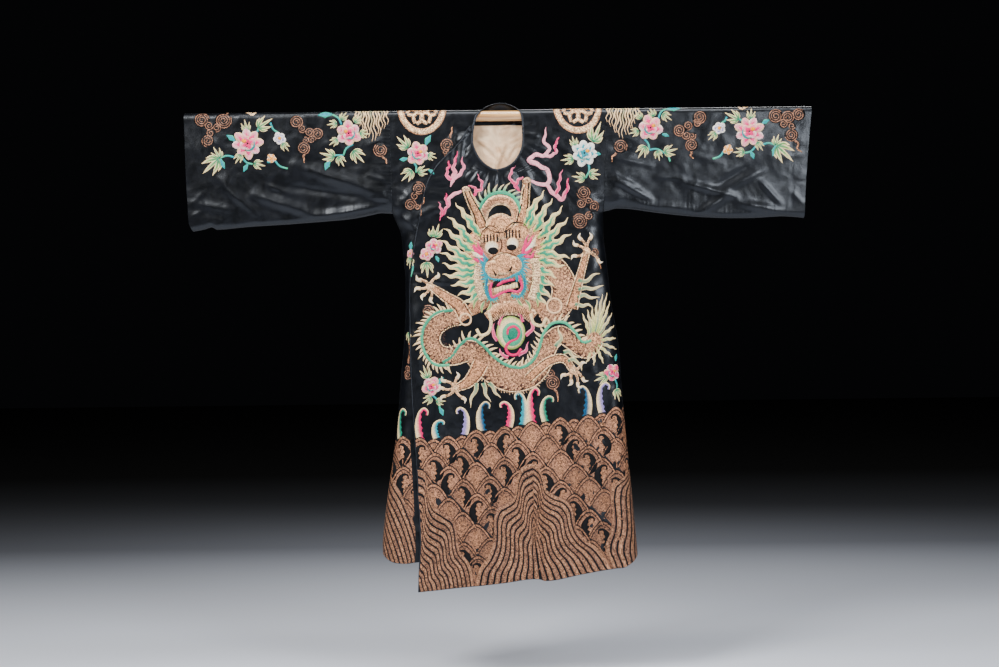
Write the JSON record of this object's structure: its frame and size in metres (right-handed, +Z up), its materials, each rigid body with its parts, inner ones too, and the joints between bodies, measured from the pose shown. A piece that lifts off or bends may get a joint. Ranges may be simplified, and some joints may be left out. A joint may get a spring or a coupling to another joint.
{
  "type": "peking opera costume robe on a hanging rod",
  "caption": "Wide-sleeved theatre robe of lined satin with couched metal-thread embroidery, closing at the side and hung on a wooden rod through both sleeves.",
  "frame": {"origin": "on the rod's axis, under the middle of the neck, where the rod is held up", "axes": "+X along the rod towards the wearer's left sleeve, -Y out of the robe's front, +Z up"},
  "size_m": [1.8016, 0.1026, 1.3958],
  "materials": {
    "satin": "black silk satin with a cool sheen",
    "lining": "matt beige cotton",
    "binding": "black satin binding and cord",
    "rod_wood": "varnished golden wood",
    "gold_thread": "couched copper-gold metal thread",
    "silk_floss": "satin-stitched silk floss"
  },
  "bodies": {
    "root": {"rod": "rod_wood", "front_left": "satin", "front_overlap": "satin", "front_underlap": "satin", "back_left": "satin", "back_right": "satin", "sleeve_left": "satin", "sleeve_right": "satin", "back_lining": "lining", "neck_binding": "binding", "knot_button": "binding", "button_loop": "binding"}
  },
  "joints": []
}
